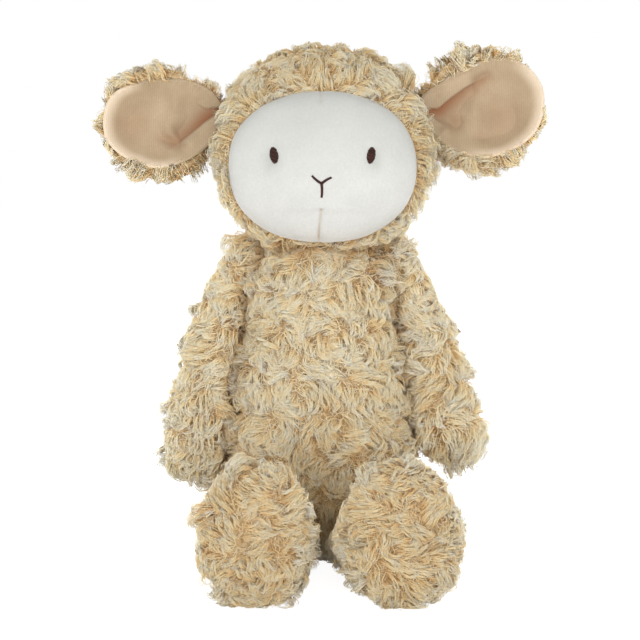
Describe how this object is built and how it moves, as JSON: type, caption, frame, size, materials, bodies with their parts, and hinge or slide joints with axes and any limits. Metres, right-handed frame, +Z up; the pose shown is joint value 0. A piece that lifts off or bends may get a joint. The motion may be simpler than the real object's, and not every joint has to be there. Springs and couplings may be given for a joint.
{
  "type": "plush sheep",
  "caption": "Seated plush sheep in long curly fur with a smooth velour face and lined ears; its head, ears, arms, legs and tail move about their seams.",
  "frame": {"origin": "on the floor, in the flat underside of the seat, below the neck", "axes": "+Z up, the face looks along -Y, the sheep's own left is +X"},
  "size_m": [0.2661, 0.2255, 0.3137],
  "materials": {
    "fur": "long curly cream pile, matte",
    "stuffing": "loose polyester fibre",
    "bag_cloth": "plain woven cloth",
    "thread": "matte thread",
    "face_velour": "short smooth pile",
    "ear_velour": "short pile with a fine rib",
    "embroidery": "satin stitch, slight sheen"
  },
  "bodies": {
    "body": {"body_cover": "fur", "body_stuffing": "stuffing", "seat_pellet_bag": "bag_cloth"},
    "neck": {"neck_seam": "thread"},
    "head": {"head_cover": "fur", "head_stuffing": "stuffing", "face_panel": "face_velour", "left_eye": "embroidery", "right_eye": "embroidery", "nose_and_mouth": "embroidery"},
    "left_ear": {"left_ear_back": "fur", "left_ear_lining": "ear_velour"},
    "right_ear": {"right_ear_back": "fur", "right_ear_lining": "ear_velour"},
    "left_arm": {"left_arm_cover": "fur", "left_arm_stuffing": "stuffing"},
    "right_arm": {"right_arm_cover": "fur", "right_arm_stuffing": "stuffing"},
    "left_leg": {"left_leg_cover": "fur", "left_leg_stuffing": "stuffing", "left_sole": "fur"},
    "right_leg": {"right_leg_cover": "fur", "right_leg_stuffing": "stuffing", "right_sole": "fur"},
    "tail": {"tail": "fur"}
  },
  "joints": [
    {"name": "neck_nod", "type": "hinge", "parent": "body", "child": "neck", "pos_m": [0, 0, 0.187], "axis": [1, 0, 0], "range_deg": [-10, 10], "stiffness_Nm_per_rad": 0.5},
    {"name": "neck_turn", "type": "hinge", "parent": "neck", "child": "head", "pos_m": [0, 0, 0.187], "axis": [0, 0, 1], "range_deg": [-30, 30], "stiffness_Nm_per_rad": 0.3},
    {"name": "left_shoulder", "type": "hinge", "parent": "body", "child": "left_arm", "pos_m": [0.04027, 0, 0.18003], "axis": [-0.9936, 0, -0.1132], "range_deg": [-35, 90]},
    {"name": "right_shoulder", "type": "hinge", "parent": "body", "child": "right_arm", "pos_m": [-0.04027, 0, 0.18003], "axis": [-0.9936, 0, 0.1132], "range_deg": [-35, 90]},
    {"name": "left_hip", "type": "hinge", "parent": "body", "child": "left_leg", "pos_m": [0.03, -0.038, 0.018], "axis": [1, 0, 0], "range_deg": [-15, 90]},
    {"name": "right_hip", "type": "hinge", "parent": "body", "child": "right_leg", "pos_m": [-0.03, -0.038, 0.018], "axis": [1, 0, 0], "range_deg": [-15, 90]},
    {"name": "left_ear_flap", "type": "hinge", "parent": "head", "child": "left_ear", "pos_m": [0.06456, 0.00035, 0.26984], "axis": [0.2285, 0, -0.9735], "range_deg": [-35, 40], "stiffness_Nm_per_rad": 0.02},
    {"name": "right_ear_flap", "type": "hinge", "parent": "head", "child": "right_ear", "pos_m": [-0.06237, 0.00035, 0.26634], "axis": [0.2285, 0, 0.9735], "range_deg": [-35, 40], "stiffness_Nm_per_rad": 0.02},
    {"name": "tail_lift", "type": "hinge", "parent": "body", "child": "tail", "pos_m": [0, 0.04868, 0.04592], "axis": [1, 0, 0], "range_deg": [-8, 70], "stiffness_Nm_per_rad": 0.02}
  ]
}
